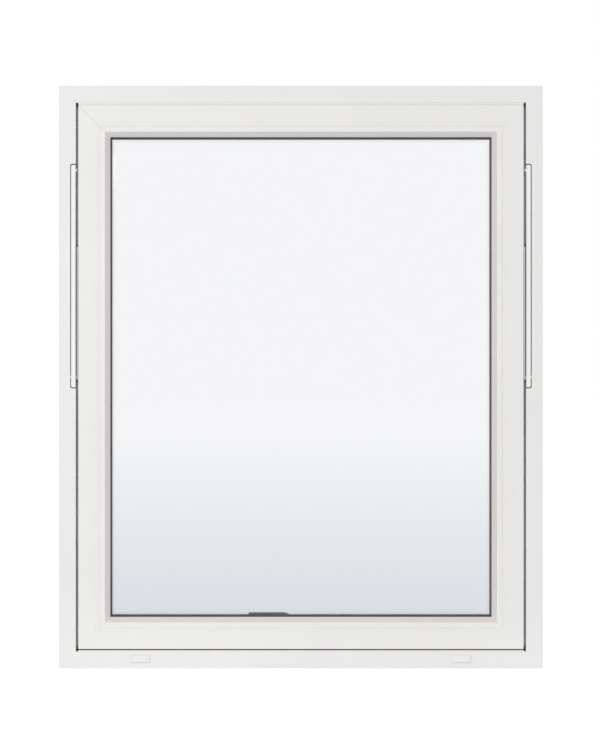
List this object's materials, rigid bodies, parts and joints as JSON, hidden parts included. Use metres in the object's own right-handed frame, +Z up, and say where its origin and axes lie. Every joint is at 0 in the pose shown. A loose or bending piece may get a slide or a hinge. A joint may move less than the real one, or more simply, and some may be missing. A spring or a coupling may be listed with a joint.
{
  "type": "fully reversible pivot window",
  "caption": "White welded window with frame, mitred sash and sealed glazing; the sash swings out on two side arms and turns over for cleaning.",
  "frame": {"origin": "middle of the sill's underside: half of the frame's width and half of its depth, at the seat", "axes": "+X along the sill (to the right seen from outside), +Y into the building, +Z up; the weather face looks along -Y"},
  "size_m": [0.98, 0.121, 1.18],
  "materials": {
    "frame_pvc": "smooth white welded PVC, soft gloss",
    "sash_pvc": "smooth white welded PVC, soft gloss",
    "weather_strip": "matt white strip",
    "hinge_bar": "white powder coat",
    "cap_plastic": "moulded white plastic",
    "gasket": "matt black rubber",
    "glass": "clear float glass",
    "spacer": "matt grey warm-edge bar",
    "setting_block": "matt plastic",
    "zinc_steel": "zinc plated",
    "track_aluminium": "mill aluminium",
    "handle_metal": "satin metal"
  },
  "bodies": {
    "frame": {"drain_cap_left": "cap_plastic", "drain_cap_right": "cap_plastic", "frame_gasket": "gasket", "frame_head": "frame_pvc", "frame_jamb_left": "frame_pvc", "frame_jamb_right": "frame_pvc", "frame_sill": "frame_pvc", "guide_track_left": "track_aluminium", "guide_track_right": "track_aluminium", "head_weatherstrip": "weather_strip", "hinge_bar_left": "hinge_bar", "hinge_bar_right": "hinge_bar", "lock_keep_left": "zinc_steel", "lock_keep_right": "zinc_steel", "stop_head": "frame_pvc", "stop_jamb_left": "frame_pvc", "stop_jamb_right": "frame_pvc", "stop_sill": "frame_pvc"},
    "sash": {"glazing_bead_bottom": "sash_pvc", "glazing_bead_left": "sash_pvc", "glazing_bead_right": "sash_pvc", "glazing_bead_top": "sash_pvc", "glazing_gasket_inner": "gasket", "glazing_gasket_outer": "gasket", "guide_pin_left": "zinc_steel", "guide_pin_right": "zinc_steel", "handle_rosette": "handle_metal", "lock_strip": "zinc_steel", "pane_inner": "glass", "pane_middle": "glass", "pane_outer": "glass", "sash_plate_left": "zinc_steel", "sash_plate_right": "zinc_steel", "sash_rail_bottom": "sash_pvc", "sash_rail_top": "sash_pvc", "sash_stile_left": "sash_pvc", "sash_stile_right": "sash_pvc", "setting_blocks": "setting_block", "spacer_inner": "spacer", "spacer_outer": "spacer"},
    "handle": {"handle_lever": "handle_metal"},
    "arm_left": {"arm_left": "zinc_steel"},
    "arm_right": {"arm_right": "zinc_steel"}
  },
  "joints": [
    {"name": "arm_left_swing", "type": "hinge", "parent": "frame", "child": "arm_left", "pos_m": [-0.4535, -0.044, 0.59], "axis": [1, 0, 0], "range_deg": [0, 170]},
    {"name": "arm_right_swing", "type": "hinge", "parent": "frame", "child": "arm_right", "pos_m": [0.4535, -0.044, 0.59], "axis": [1, 0, 0], "range_deg": [0, 170]},
    {"name": "sash_turn", "type": "hinge", "parent": "arm_left", "child": "sash", "pos_m": [-0.4535, -0.044, 0.84853], "axis": [-1, 0, 0], "range_deg": [0, 331]},
    {"name": "handle_turn", "type": "hinge", "parent": "sash", "child": "handle", "pos_m": [0, 0.03, 0.083], "axis": [0, 1, 0], "range_deg": [0, 90]}
  ],
  "couplings": [
    {"joint": "arm_left_swing", "follows": "sash_turn", "ratio": 0.51282},
    {"joint": "arm_right_swing", "follows": "sash_turn", "ratio": 0.51282}
  ]
}
